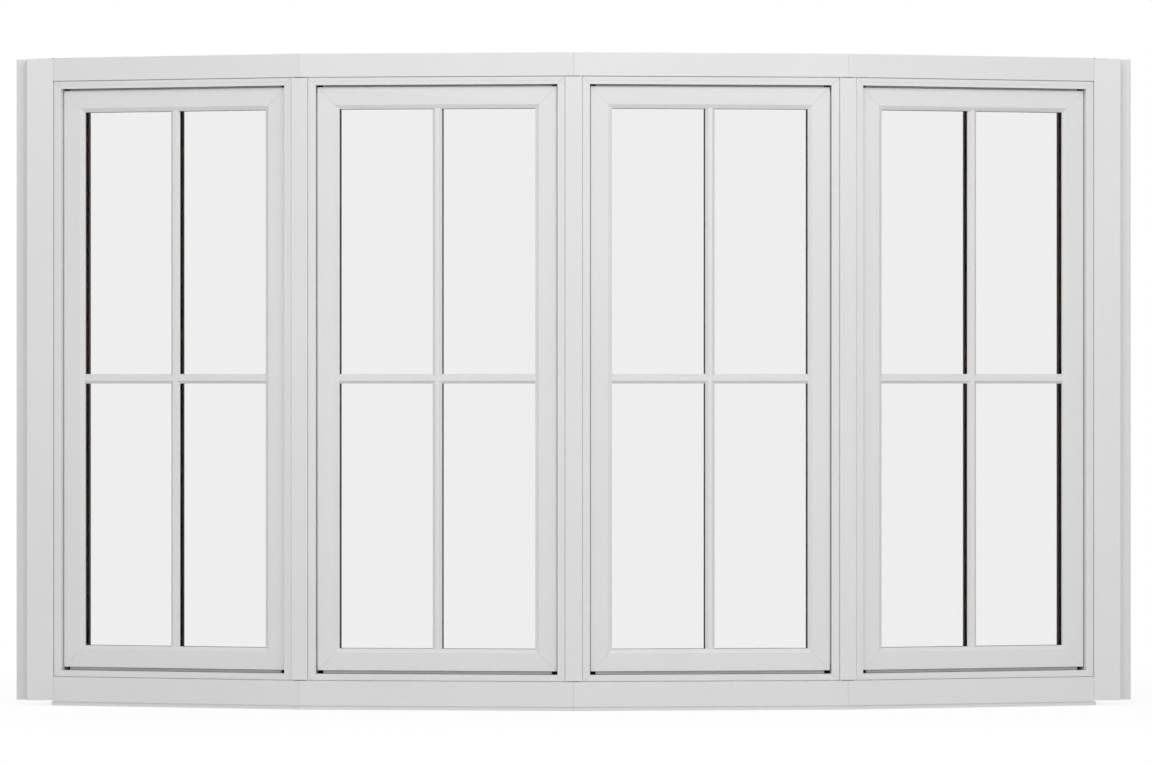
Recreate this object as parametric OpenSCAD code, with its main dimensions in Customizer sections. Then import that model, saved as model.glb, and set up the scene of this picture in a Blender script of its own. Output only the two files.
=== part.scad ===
// Four-lite bow window: four casement units on a shallow bow, clad in painted
// aluminium outside and finished in dark wood inside, between a head board and
// a seat board that reach back through the wall.
// +X is to the right seen from outside, +Y points into the room, +Z is up.
// y = 0 is the plane of the outer wall, z = 0 the underside of the seat board.

/* [Bow] */
// Length of one facet, from joint to joint on the outside
unit_w = 635; // [500:5:900]
// Overall height, seat board and head board included
overall_h = 1508; // [900:1:2100]
// Turn from each facet to the next, degrees
joint_angle = 13; // [6:0.5:16]
// Depth of each unit's frame
frame_depth = 117; // [95:1:125]
// Distance from the outer wall to the room side of the wall
wall_depth = 117; // [100:1:180]

/* [Boards] */
// Thickness of the head board and the seat board
board_t = 28; // [18:1:45]
// Height of the fascia over the head board
head_fascia_h = 53.5; // [48:0.5:80]
// Height of the fascia over the seat board
sill_fascia_h = 57; // [40:0.5:80]
// Height of the drip lip under the sill fascia
drip_h = 9.6; // [5:0.1:20]

/* [Cladding] */
// Width of the cover over each joint
cover_w = 38; // [32:0.5:60]
// How far covers and fascias stand in front of the frame lip
face_proud = 2.5; // [1:0.1:5]
// Width of the groove beside a cover or a fascia
groove_w = 1.6; // [0.8:0.1:3]
// Depth of that groove, behind the frame lip
groove_d = 3; // [1:0.1:6]
// Wall of the frame's cladding
clad_t = 2; // [1.2:0.1:4]
// Width of the frame lip at the sides and the head
jamb_lip = 17; // [10:0.5:30]
// Height of the frame lip at the sill
sill_lip = 14; // [8:0.5:17]
// Set-back of the inner half of the lip
lip_step = 0.8; // [0.2:0.1:2]

/* [Sash] */
// Width of a stile or rail, bevel included
sash_face = 50.1; // [38:0.1:80]
// Width of the bevel that runs down towards the glass
bevel_w = 9.5; // [5:0.5:20]
// Depth of that bevel
bevel_d = 6.5; // [4:0.5:9]
// Step from the foot of the bevel down to the glass
glazing_step = 6; // [2:0.5:8]
// Set-back of the sash behind the frame lip
sash_inset = 12; // [6:0.5:20]
// Depth of the sash
sash_depth = 45; // [40:0.5:60]
// Gap between the sash and the frame at the sides
gap_side = 3; // [2:0.1:6]
// Gap above the sash
gap_top = 4.7; // [2:0.1:8]
// Gap under the sash
gap_bottom = 8.2; // [3:0.1:12]
// Height of the wooden stop that the sash closes on
stop_h = 20; // [12:0.5:28]
// Height of the same stop at the sill
sill_stop_h = 26; // [16:0.5:40]

/* [Glazing] */
// Thickness of one pane
pane_t = 3; // [2:0.5:6]
// Clear space between the panes
air_gap = 12.5; // [6:0.5:16]
// How far the sash covers the edge of the glass
glass_bite = 12.5; // [8:0.5:16]
// Width of the spacer between the panes
spacer_w = 8; // [5:0.5:9]
// Width of a glazing bar
bar_w = 22; // [14:0.5:40]
// Width of a glazing bar's flat centre outside
bar_flat = 9; // [4:0.5:12]
// Height of a glazing bar outside
bar_out_h = 7.5; // [6:0.5:10]
// Height of a glazing bar inside
bar_in_h = 10.5; // [6:0.5:12]

/* [Ends] */
// Width of the side board
side_w = 61; // [40:1:120]
// Thickness of the side board
side_t = 30; // [20:1:45]
// Height of the side board's lower end above the drip lip's lower edge
side_bottom = 12.2; // [0:0.1:30]
// How far the side board ends below the head fascia's top
side_top_drop = 2; // [0:0.1:20]
// Width of the flange outside the side board
fin_w = 26.5; // [10:0.5:60]
// Thickness of the flange
fin_t = 2; // [1:0.1:4]
// Height of the flange's turned-up outer edge
fin_edge = 5; // [3:0.5:12]
// How far the side board laps onto the wall beside its opening
wall_lap = 25; // [10:1:35]

/* [Room side] */
// Half-width of the casing over each joint
casing_half = 30; // [20:1:40]
// Thickness of that casing
casing_t = 9; // [5:0.5:20]
// How far the side jamb laps over the end unit's frame
jamb_lap = 18; // [8:1:40]
// Length of the crank's cover
crank_l = 118; // [90:1:160]
// Height of the lock lever's middle above the seat board
lock_z = 420; // [200:5:600]

/* [Hidden] */

// Smoothness of round pieces
$fn = 48;

white = [0.87, 0.87, 0.87];
dark_wood = [0.2, 0.12, 0.09];
pane = [0.75, 0.82, 0.82, 0.4];
dark_seal = [0.12, 0.11, 0.1];
grey_seal = [0.6, 0.6, 0.6];
bronze = [0.25, 0.2, 0.16];

// Hairline between two pieces that are fixed to each other
hairline = 0.15;
// Clearance around the weatherstrips
strip_clear = 0.1;

// The bow: four facets, each turned from the one before it
facets = 4;
half_turn = joint_angle / 2;
end_turn = (facets - 1) / 2 * joint_angle;
half_w = unit_w / 2;

// Sections through a unit, from the middle outwards
cover_half = cover_w / 2;
channel_half = half_w - cover_half - groove_w - jamb_lip;
frame_half = half_w - frame_depth * tan(half_turn) - 3 * hairline;
sash_half = channel_half - gap_side;
sight_half = sash_half - sash_face;
stop_half = channel_half - stop_h;

// Levels, from the bottom up
fascia_top = drip_h + sill_fascia_h;
sill_lip_bottom = fascia_top + groove_w;
channel_bottom = sill_lip_bottom + sill_lip;
sash_bottom = channel_bottom + gap_bottom;
sight_bottom = sash_bottom + sash_face;
frame_top = overall_h - board_t;
fascia_bottom = overall_h - head_fascia_h;
head_lip_top = fascia_bottom - groove_w;
channel_top = head_lip_top - jamb_lip;
sash_top = channel_top - gap_top;
sight_top = sash_top - sash_face;
bar_z = (sight_bottom + sight_top) / 2;

// Depths behind the frame lip, towards the room
bevel_foot = sash_inset + bevel_d;
glass_front = bevel_foot + glazing_step;
pane_back = glass_front + pane_t;
inner_pane = pane_back + air_gap;
glass_back = inner_pane + pane_t;
sash_split = glass_front + 13.5;
sash_back = sash_inset + sash_depth;
stop_front = sash_back + 2 * hairline;
return_depth = 44;
wood_chamfer = 2.5;

// Thickness of the frame members
jamb_t = frame_half - channel_half;
sill_t = channel_bottom - board_t;
head_t = frame_top - channel_top;

// Where the bow meets the wall
end_x = unit_w * (cos(end_turn) + cos(end_turn - joint_angle));
side_front = -fin_t - side_t;
side_proud = 1.5;
end_y = side_front + side_proud + (cover_half + groove_w) * sin(end_turn);

function facet_angle(i) = (i - (facets - 1) / 2) * joint_angle;
function along(a, x, y) = [x * cos(a) - y * sin(a), x * sin(a) + y * cos(a)];
function joint_pt(k) = k == 0 ? [-end_x, end_y] : joint_pt(k - 1) + along(facet_angle(k - 1), unit_w, 0);
function facet_mid(i) = (joint_pt(i) + joint_pt(i + 1)) / 2;
function facet_pt(i, x, y) = facet_mid(i) + along(facet_angle(i), x, y);

// Half-length of a member that is mitred to its neighbour, at depth y
function mitre_x(y) = half_w - y * tan(half_turn) - hairline;

// Side board: its inner edge lines up with the edge of the first cover line
side_inner = -facet_pt(0, cover_half - half_w, -face_proud)[0];
side_outer = side_inner + side_w;
frame_corner = facet_pt(0, -frame_half, groove_d);
// Half-width of the opening in the wall
wall_half = side_outer - wall_lap;

// Opening between the bevels at depth y
function bevel_open(y) = max(0, bevel_foot - y) * bevel_w / bevel_d;

module on_facet(i) {
    translate([facet_mid(i)[0], facet_mid(i)[1], 0]) rotate([0, 0, facet_angle(i)]) children();
}

module both_sides() {
    children();
    mirror([1, 0, 0]) children();
}

// A section drawn as (height, depth), run along X; the head's faces up, the sill's down
module run_x_up(z, length) {
    translate([0, 0, z]) rotate([0, -90, 0]) linear_extrude(length, center = true) children();
}

module run_x_down(z, length) {
    translate([0, 0, z]) rotate([0, 90, 0]) linear_extrude(length, center = true) children();
}

// An outline in plan, from z0 up to z1
module upright(z0, z1) {
    translate([0, 0, z0]) linear_extrude(z1 - z0) children();
}

// An outline in elevation, through the whole depth of a unit
module through_unit() {
    translate([0, frame_depth, 0]) rotate([90, 0, 0]) linear_extrude(frame_depth + face_proud) children();
}

// ---- Frame ----

// Cladding of a frame member: lip, groove floor and the return beside the sash
module frame_clad_section(lip, thick, step) {
    polygon([
        [0, step], [lip / 2, step], [lip / 2, 0], [lip, 0], [lip, groove_d], [thick, groove_d],
        [thick, groove_d + clad_t], [clad_t, groove_d + clad_t], [clad_t, return_depth], [0, return_depth]
    ]);
}

// Wood of a frame member, with the stop that the sash closes on
module frame_wood_section(thick, stop) {
    polygon([
        [clad_t, groove_d + clad_t], [thick, groove_d + clad_t], [thick, frame_depth],
        [wood_chamfer - stop, frame_depth], [-stop, frame_depth - wood_chamfer],
        [-stop, stop_front], [0, stop_front], [0, return_depth], [clad_t, return_depth]
    ]);
}

// Elevation of the side cladding: mitred over the lip, then square
module jamb_elevation() {
    past = frame_half + clad_t;
    polygon([
        [channel_half - clad_t, channel_top + clad_t - hairline],
        [channel_half - clad_t, channel_bottom - clad_t + hairline],
        [channel_half, channel_bottom + hairline],
        [channel_half + sill_lip, sill_lip_bottom + hairline], [past, sill_lip_bottom + hairline],
        [past, head_lip_top - hairline], [channel_half + jamb_lip, head_lip_top - hairline],
        [channel_half, channel_top - hairline]
    ]);
}

// Elevation of the head's or the sill's cladding: out is 1 upwards and -1 downwards
module cross_elevation(z_in, out, lip, thick) {
    at_in = channel_half - hairline;
    at_lip = at_in + lip + hairline;
    z_lip = z_in + out * (lip + hairline);
    z_past = z_in + out * (thick + clad_t);
    polygon([
        [-at_in, z_in], [at_in, z_in], [at_lip, z_lip], [frame_half, z_lip], [frame_half, z_past],
        [-frame_half, z_past], [-frame_half, z_lip], [-at_lip, z_lip]
    ]);
}

module frame_cladding(i) {
    color(white) on_facet(i) {
        both_sides() intersection() {
            translate([channel_half, 0, 0]) upright(0, overall_h)
                frame_clad_section(jamb_lip, jamb_t, lip_step);
            through_unit() jamb_elevation();
        }
        intersection() {
            run_x_up(channel_top, unit_w) frame_clad_section(jamb_lip, head_t, lip_step);
            through_unit() cross_elevation(channel_top, 1, jamb_lip, head_t);
        }
        intersection() {
            run_x_down(channel_bottom, unit_w) frame_clad_section(sill_lip, sill_t, lip_step);
            through_unit() cross_elevation(channel_bottom, -1, sill_lip, sill_t);
        }
    }
}

// Plan of a head or sill member, coped to the side members on each side
module cross_plan() {
    side = [
        [channel_half + clad_t - hairline, groove_d], [channel_half + clad_t - hairline, return_depth],
        [channel_half - hairline, return_depth], [channel_half - hairline, stop_front],
        [stop_half - hairline, stop_front], [stop_half - hairline, frame_depth]
    ];
    other_side = [for (k = [len(side) - 1:-1:0]) [-side[k][0], side[k][1]]];
    polygon(concat(side, other_side));
}

module frame_wood(i) {
    color(dark_wood) on_facet(i) {
        both_sides() translate([channel_half, 0, 0]) upright(board_t, frame_top)
            frame_wood_section(jamb_t, stop_h);
        intersection() {
            run_x_up(channel_top, unit_w) frame_wood_section(head_t, stop_h);
            upright(0, overall_h) cross_plan();
        }
        intersection() {
            run_x_down(channel_bottom, unit_w) frame_wood_section(sill_t, sill_stop_h);
            upright(0, overall_h) cross_plan();
        }
    }
}

// ---- Sash ----

// Cladding of a stile or rail, from its outer edge in to the glass
module sash_clad_section() {
    polygon([
        [0, sash_inset], [sash_face - bevel_w, sash_inset], [sash_face, bevel_foot],
        [sash_face, glass_front], [sash_face - glass_bite, glass_front],
        [sash_face - glass_bite, sash_split], [0, sash_split]
    ]);
}

module sash_wood_section() {
    polygon([
        [0, sash_split], [sash_face - glass_bite, sash_split], [sash_face - glass_bite, glass_back],
        [sash_face, glass_back], [sash_face, sash_back - wood_chamfer],
        [sash_face - wood_chamfer, sash_back], [0, sash_back]
    ]);
}

module sash_cladding(i) {
    color(white) on_facet(i) {
        both_sides() intersection() {
            translate([-sash_half, 0, 0]) upright(sash_bottom, sash_top) sash_clad_section();
            through_unit() polygon([
                [-sash_half, sash_bottom + hairline], [-sight_half, sight_bottom + hairline],
                [-sight_half, sight_top - hairline], [-sash_half, sash_top - hairline]
            ]);
        }
        intersection() {
            run_x_up(sash_bottom, 2 * sash_half) sash_clad_section();
            through_unit() polygon([
                [hairline - sash_half, sash_bottom], [sash_half - hairline, sash_bottom],
                [sight_half - hairline, sight_bottom], [hairline - sight_half, sight_bottom]
            ]);
        }
        intersection() {
            run_x_down(sash_top, 2 * sash_half) sash_clad_section();
            through_unit() polygon([
                [hairline - sash_half, sash_top], [sash_half - hairline, sash_top],
                [sight_half - hairline, sight_top], [hairline - sight_half, sight_top]
            ]);
        }
    }
}

module sash_wood(i) {
    rail_l = 2 * (sight_half - hairline);
    color(dark_wood) on_facet(i) {
        both_sides() translate([-sash_half, 0, 0]) upright(sash_bottom, sash_top) sash_wood_section();
        run_x_up(sash_bottom, rail_l) sash_wood_section();
        run_x_down(sash_top, rail_l) sash_wood_section();
    }
}

// ---- Glass and glazing bars ----

module glass(i) {
    edge = glass_bite - 3 * hairline;
    color(pane) on_facet(i) {
        for (front = [glass_front, inner_pane])
            translate([-sight_half - edge, front, sight_bottom - edge])
                cube([2 * (sight_half + edge), pane_t, sight_top - sight_bottom + 2 * edge]);
    }
}

// Dark bars between the panes, just out of sight behind the sash
module glass_spacers() {
    inset = 2;
    near = sight_half + inset;
    low = sight_bottom - inset;
    high = sight_top + inset;
    color(dark_seal) for (i = [0:facets - 1]) on_facet(i) {
        both_sides() translate([near, pane_back, low - spacer_w])
            cube([spacer_w, air_gap, high - low + 2 * spacer_w]);
        for (z = [low - spacer_w, high])
            translate([hairline - near, pane_back, z])
                cube([2 * (near - hairline), air_gap, spacer_w]);
    }
}

bar_half = bar_w / 2;
bar_foot = glass_front - 1.6;
bar_front = glass_front - bar_out_h;

// Section of an outside bar across its run: foot, sloped sides and flat centre
module bar_section() {
    polygon([
        [-bar_half, glass_front], [-bar_half, bar_foot], [-bar_flat / 2, bar_front],
        [bar_flat / 2, bar_front], [bar_half, bar_foot], [bar_half, glass_front]
    ]);
}

// Side view of an outside bar from one end at a to the other at b
// Each end grows by its own amount at the bar's front, so that it meets the slope there
module bar_side(a, b, grow_a, grow_b) {
    slope_a = grow_a[0];
    slope_b = grow_b[0];
    polygon([
        [a, glass_front], [a, grow_a[1]], [a - slope_a, bar_front],
        [b + slope_b, bar_front], [b, grow_b[1]], [b, glass_front]
    ]);
}

module bars_outside(i) {
    at_bevel = [bevel_open(bar_front) - hairline, bevel_foot];
    at_bar = [bar_half - bar_flat / 2, bar_foot];
    color(white) on_facet(i) {
        intersection() {
            upright(sight_bottom - bevel_w, sight_top + bevel_w) bar_section();
            rotate([0, -90, 0]) linear_extrude(bar_w, center = true)
                bar_side(sight_bottom + hairline, sight_top - hairline, at_bevel, at_bevel);
        }
        both_sides() intersection() {
            run_x_up(bar_z, unit_w) bar_section();
            upright(0, overall_h) bar_side(bar_half + hairline, sight_half - hairline, at_bar, at_bevel);
        }
    }
}

module bars_inside(i) {
    room_face = glass_back + bar_in_h;
    ease = 2;
    section = [
        [-bar_half, glass_back], [bar_half, glass_back], [bar_half, room_face - ease],
        [bar_half - ease, room_face], [ease - bar_half, room_face], [-bar_half, room_face - ease]
    ];
    arm = sight_half - bar_half - 2 * hairline;
    color(dark_wood) on_facet(i) {
        upright(sight_bottom + hairline, sight_top - hairline) polygon(section);
        both_sides() translate([bar_half + hairline + arm / 2, 0, 0])
            run_x_up(bar_z, arm) polygon(section);
    }
}

// ---- Weatherstrips ----

// Grey strips in the gap around each sash; they stop short of the corners
module weatherstrips() {
    corner = 12;
    front = sash_inset + 6;
    deep = 8;
    side_l = sash_top - sash_bottom - 2 * corner;
    cross_l = 2 * (sash_half - corner);
    color(grey_seal) for (i = [0:facets - 1]) on_facet(i) {
        both_sides() translate([sash_half + strip_clear, front, sash_bottom + corner])
            cube([gap_side - 2 * strip_clear, deep, side_l]);
        translate([-cross_l / 2, front, sash_top + strip_clear])
            cube([cross_l, deep, gap_top - 2 * strip_clear]);
        translate([-cross_l / 2, front, channel_bottom + strip_clear])
            cube([cross_l, deep, gap_bottom - 2 * strip_clear]);
    }
}

// ---- Boards and fascias ----

// Plan of the head and seat boards: bowed in front, straight along the room
module board_plan() {
    front = [for (k = [1:facets - 1]) facet_pt(k, mitre_x(groove_d) * -1 - hairline, groove_d)];
    polygon(concat(
        [frame_corner], front, [[-frame_corner[0], frame_corner[1]]],
        [[-frame_corner[0], 0], [wall_half, 0], [wall_half, wall_depth]],
        [[-wall_half, wall_depth], [-wall_half, 0], [frame_corner[0], 0]]
    ));
}

// Seat board, thinner under the side boards so that they hide its ends
module seat_board() {
    notch_top = side_bottom + 3;
    color(dark_wood) difference() {
        upright(0, board_t) board_plan();
        both_sides() translate([side_inner, -side_outer, -1]) cube([side_w, 2 * side_outer, 1 + notch_top]);
    }
}

module head_board() {
    color(dark_wood) upright(frame_top, overall_h) board_plan();
}

// Local x where a facet's end meets the plane of the side board's inner edge, at depth y
function board_cut(y) =
    (facet_mid(0)[0] + side_inner - hairline * 2 - y * sin(facet_angle(0))) / cos(end_turn) * -1;

// Plan of one facet's fascia, mitred at joints and cut off at the side board
module fascia_plan(i) {
    low = i == 0 ? [board_cut(-face_proud), board_cut(groove_d)]
        : [-mitre_x(-face_proud), -mitre_x(groove_d)];
    high = i == facets - 1 ? [-board_cut(-face_proud), -board_cut(groove_d)]
        : [mitre_x(-face_proud), mitre_x(groove_d)];
    polygon([
        [low[0], -face_proud], [high[0], -face_proud], [high[1], groove_d], [low[1], groove_d]
    ]);
}

module sill_fascia() {
    color(white) for (i = [0:facets - 1]) on_facet(i) upright(drip_h, fascia_top) fascia_plan(i);
}

module head_fascia() {
    color(white) for (i = [0:facets - 1]) on_facet(i) upright(fascia_bottom, overall_h) fascia_plan(i);
}

module drip_lip() {
    color(white) for (i = [0:facets - 1]) on_facet(i) upright(0, drip_h - hairline) {
        low = i == 0 ? [-frame_half, -frame_half] : [-mitre_x(0), -mitre_x(groove_d)];
        high = i == facets - 1 ? [frame_half, frame_half] : [mitre_x(0), mitre_x(groove_d)];
        polygon([[low[0], 0], [high[0], 0], [high[1], groove_d], [low[1], groove_d]]);
    }
}

// ---- Joints between units ----

// A point of the unit on the left or the right of joint k, x out from that unit's middle
function left_of(k, x, y) = facet_pt(k - 1, x, y);
function right_of(k, x, y) = facet_pt(k, -x, y);

module mullion_covers() {
    edge = half_w - cover_half;
    color(white) for (k = [1:facets - 1]) upright(sill_lip_bottom, head_lip_top) polygon([
        left_of(k, edge, -face_proud), right_of(k, edge, -face_proud), right_of(k, edge, groove_d),
        right_of(k, frame_half + 2 * hairline, groove_d), left_of(k, frame_half + 2 * hairline, groove_d),
        left_of(k, edge, groove_d)
    ]);
}

// Wedge posts that the units are fastened to, hidden between their frames
module mullion_posts() {
    beside = frame_half + hairline;
    deep = frame_depth - 20;
    color(dark_wood) for (k = [1:facets - 1]) upright(board_t, frame_top) polygon([
        left_of(k, beside, groove_d + 2 * hairline), right_of(k, beside, groove_d + 2 * hairline),
        right_of(k, beside, deep), left_of(k, beside, deep)
    ]);
}

// Where two units meet on the room side, and the edge of the casing over that joint
joint_x = half_w - frame_depth * tan(half_turn);
casing_edge = joint_x - casing_half;

// Flat casings over the joints on the room side
module mullion_casings() {
    room = frame_depth + casing_t;
    color(dark_wood) for (k = [1:facets - 1]) upright(board_t, frame_top) polygon([
        left_of(k, casing_edge, frame_depth), left_of(k, joint_x, frame_depth),
        right_of(k, casing_edge, frame_depth), right_of(k, casing_edge, room),
        left_of(k, casing_edge, room)
    ]);
}

// ---- Ends ----

// Side board, drawn on the left: a thin lap covers the edge of the end unit's frame
module side_board() {
    lap_y = frame_corner[1] + (-side_inner - frame_corner[0]) * tan(facet_angle(0)) - hairline;
    step_x = frame_corner[0] - 2 * hairline;
    color(white) upright(side_bottom, overall_h - side_top_drop) polygon([
        [-side_outer, side_front], [-side_inner, side_front], [-side_inner, lap_y],
        [step_x, lap_y], [step_x, -fin_t], [-side_outer, -fin_t]
    ]);
}

// Flange against the wall beside the opening, with its outer edge turned up
module side_fin() {
    outer = side_outer + fin_w;
    color(white) upright(side_bottom, overall_h - side_top_drop) polygon([
        [-outer, 0], [-outer, -fin_edge], [fin_t - outer, -fin_edge], [fin_t - outer, -fin_t],
        [-wall_half - hairline, -fin_t], [-wall_half - hairline, 0]
    ]);
}

// Jamb between the end unit and the wall, lapping over the unit's frame inside
module side_jamb() {
    near_wall = facet_pt(0, -frame_half - hairline, 0);
    start_x = near_wall[0] + near_wall[1] * tan(facet_angle(0));
    back_corner = facet_pt(0, -frame_half - hairline, frame_depth + hairline);
    lap_end = facet_pt(0, jamb_lap - frame_half, frame_depth + hairline);
    color(dark_wood) upright(board_t, frame_top) polygon([
        [-wall_half, 0], [start_x, 0], back_corner, lap_end, [lap_end[0], wall_depth],
        [-wall_half, wall_depth]
    ]);
}

// ---- Hardware on the room side ----

// Left units are hung on the left, right units on the right
function hand(i) = i < facets / 2 ? -1 : 1;

// Crank operator on the sill stop: rounded cover, hub and folded handle with its knob
module crank_operators() {
    base_h = 13;
    base_d = 30;
    reach = (crank_l - base_d) / 2;
    handle_l = crank_l - 44;
    y = frame_depth - base_d / 2 - 8;
    z = channel_bottom + sill_stop_h;
    color(bronze) for (i = [0:facets - 1]) on_facet(i)
        translate([hand(i) * (stop_half - crank_l), y, z]) mirror([hand(i) < 0 ? 0 : 1, 0, 0]) {
            translate([-reach, -base_d / 2, 0]) cube([2 * reach, base_d, base_h]);
            for (s = [-1, 1]) translate([s * reach, 0, 0]) cylinder(h = base_h, d = base_d);
            translate([reach, 0, base_h]) cylinder(h = 8, d = 15);
            translate([reach - handle_l, -5, base_h + 3]) cube([handle_l, 10, 4]);
            translate([reach - handle_l, 0, base_h + 1]) cylinder(h = 10, d = 13);
        }
}

// Lock lever on the side stop away from the hinges: plate, boss and lever
module lock_levers() {
    stop_edge = stop_half + wood_chamfer;
    margin = 0.9;
    plate = [casing_edge - stop_edge - 2 * margin, 4, 92];
    x = (stop_edge + casing_edge) / 2;
    color(bronze) for (i = [0:facets - 1]) on_facet(i)
        translate([-hand(i) * x, frame_depth, board_t + lock_z]) {
            translate([-plate[0] / 2, 0, -plate[2] / 2]) cube(plate);
            rotate([-90, 0, 0]) cylinder(h = 12, d = plate[0] - 1);
            translate([1 - plate[0] / 2, 8, -62]) cube([plate[0] - 2, 5, 62]);
        }
}

frame_cladding(0);  // unit_1_frame_cladding
frame_cladding(1);  // unit_2_frame_cladding
frame_cladding(2);  // unit_3_frame_cladding
frame_cladding(3);  // unit_4_frame_cladding
frame_wood(0);  // unit_1_frame_wood
frame_wood(1);  // unit_2_frame_wood
frame_wood(2);  // unit_3_frame_wood
frame_wood(3);  // unit_4_frame_wood
sash_cladding(0);  // unit_1_sash_cladding
sash_cladding(1);  // unit_2_sash_cladding
sash_cladding(2);  // unit_3_sash_cladding
sash_cladding(3);  // unit_4_sash_cladding
sash_wood(0);  // unit_1_sash_wood
sash_wood(1);  // unit_2_sash_wood
sash_wood(2);  // unit_3_sash_wood
sash_wood(3);  // unit_4_sash_wood
glass(0);  // unit_1_glass
glass(1);  // unit_2_glass
glass(2);  // unit_3_glass
glass(3);  // unit_4_glass
bars_outside(0);  // unit_1_bars_outside
bars_outside(1);  // unit_2_bars_outside
bars_outside(2);  // unit_3_bars_outside
bars_outside(3);  // unit_4_bars_outside
bars_inside(0);  // unit_1_bars_inside
bars_inside(1);  // unit_2_bars_inside
bars_inside(2);  // unit_3_bars_inside
bars_inside(3);  // unit_4_bars_inside
glass_spacers();
weatherstrips();
seat_board();
head_board();
sill_fascia();
head_fascia();
drip_lip();
mullion_covers();
mullion_posts();
mullion_casings();
side_board();  // left_board
mirror([1, 0, 0]) side_board();  // right_board
side_fin();  // left_fin
mirror([1, 0, 0]) side_fin();  // right_fin
side_jamb();  // left_jamb
mirror([1, 0, 0]) side_jamb();  // right_jamb
crank_operators();
lock_levers();
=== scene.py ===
# %% [markdown]
# # A bow window in painted cladding and dark wood
#
# Four casement units stand on a shallow bow. Outside they are clad in white painted aluminium, and the room side is
# stained wood. The construction is already done: every board, sash and pane comes in as an exact solid.
#
# What is left for Blender is what a drawing can't hold: paint, grain, glass, seals, eased edges, and the hand-sized
# hardware that people touch. Everything is placed from the solids themselves, so nothing has to be fitted by eye.

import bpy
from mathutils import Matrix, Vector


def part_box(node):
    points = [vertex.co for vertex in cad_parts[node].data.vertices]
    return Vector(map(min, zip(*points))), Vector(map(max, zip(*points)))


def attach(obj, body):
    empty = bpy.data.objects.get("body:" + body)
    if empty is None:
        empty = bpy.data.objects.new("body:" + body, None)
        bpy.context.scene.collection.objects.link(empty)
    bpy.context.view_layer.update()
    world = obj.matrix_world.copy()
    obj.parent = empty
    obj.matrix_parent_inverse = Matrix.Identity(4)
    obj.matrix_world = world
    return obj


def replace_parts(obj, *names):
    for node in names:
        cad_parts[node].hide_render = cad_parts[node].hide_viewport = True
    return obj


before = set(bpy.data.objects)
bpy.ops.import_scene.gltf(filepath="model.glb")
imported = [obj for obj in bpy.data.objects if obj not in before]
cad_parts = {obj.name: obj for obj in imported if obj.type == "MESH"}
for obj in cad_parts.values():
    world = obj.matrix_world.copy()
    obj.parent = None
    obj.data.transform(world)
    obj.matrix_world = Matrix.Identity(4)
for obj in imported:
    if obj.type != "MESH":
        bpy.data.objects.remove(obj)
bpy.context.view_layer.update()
print("solids loaded:", len(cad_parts))

# %% The modules used below
import math

import bmesh
import bpy
import numpy as np
from mathutils import Matrix, Vector

MM = 0.001
UNITS = range(1, 5)
scene = bpy.context.scene

# %% [markdown]
# ## Where each unit stands
#
# Each unit is turned a little from the next. Its glass is a flat slab, so the slab's long direction in plan gives the
# turn, and its middle gives the place. Working in a unit's own directions (across, into the room, up) makes the
# hardware, the seals and the wood grain simple, because all four units are then alike.

# %% Find each unit's middle and turn
def plan_points(node):
    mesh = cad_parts[node].data
    points = np.empty(len(mesh.vertices) * 3)
    mesh.vertices.foreach_get("co", points)
    return points.reshape(-1, 3)[:, :2]


def unit_directions(number):
    points = plan_points(f"unit_{number}_glass")
    middle = (points.min(axis=0) + points.max(axis=0)) / 2
    spread = np.cov((points - middle).T)
    across = np.linalg.eigh(spread)[1][:, 1]
    across = across if across[0] > 0 else -across
    return middle, math.atan2(across[1], across[0])


unit_place = {}
for number in UNITS:
    middle, turn = unit_directions(number)
    unit_place[number] = Matrix.Translation((middle[0], middle[1], 0)) @ Matrix.Rotation(turn, 4, "Z")
    print("unit", number, "middle", middle.round(4), "turn", round(math.degrees(turn), 2))

# %% [markdown]
# ## The camera
#
# A window is best shown the way an architect draws it, square on, so that uprights stay upright. A long lens from far
# away keeps the four units nearly in scale with each other and still shows how the bow turns away at its ends.

# %% Set up the camera
CAMERA_LENS = 212.03
CAMERA_DISTANCE = 15.528
CAMERA_HEIGHT = 0.751

bow_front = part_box("sill_fascia")[0][1] + 2.5 * MM
camera_data = bpy.data.cameras.new("camera")
camera_data.lens = CAMERA_LENS
camera_data.sensor_width = 36
camera_data.shift_x = 0.002
camera_data.clip_end = 500
camera = bpy.data.objects.new("camera", camera_data)
camera.location = (0, bow_front - CAMERA_DISTANCE, CAMERA_HEIGHT)
camera.rotation_euler = (math.radians(90), 0, 0)
scene.collection.objects.link(camera)
scene.camera = camera
scene.view_settings.view_transform = "Standard"
print("camera stands at", [round(v, 3) for v in camera.location])

# %% [markdown]
# ## Small tools for wiring materials
#
# A material in Blender is a graph of nodes. Three short helpers keep the wiring readable: one adds a node and sets its
# inputs, one makes an arithmetic node, and one opens a node group with named sockets.

# %% Helpers for node graphs
def add_node(tree, kind, settings=None, **inputs):
    node = tree.nodes.new(kind)
    for name, value in (settings or {}).items():
        setattr(node, name, value)
    for name, value in inputs.items():
        feed(tree, node.inputs[name.replace("_", " ")], value)
    return node


def feed(tree, socket, value):
    if isinstance(value, bpy.types.NodeSocket):
        tree.links.new(value, socket)
    else:
        socket.default_value = value


def arithmetic(tree, operation, first, second=0.0, clamp=False):
    node = tree.nodes.new("ShaderNodeMath")
    node.operation = operation
    node.use_clamp = clamp
    feed(tree, node.inputs[0], first)
    feed(tree, node.inputs[1], second)
    return node.outputs[0]


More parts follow.
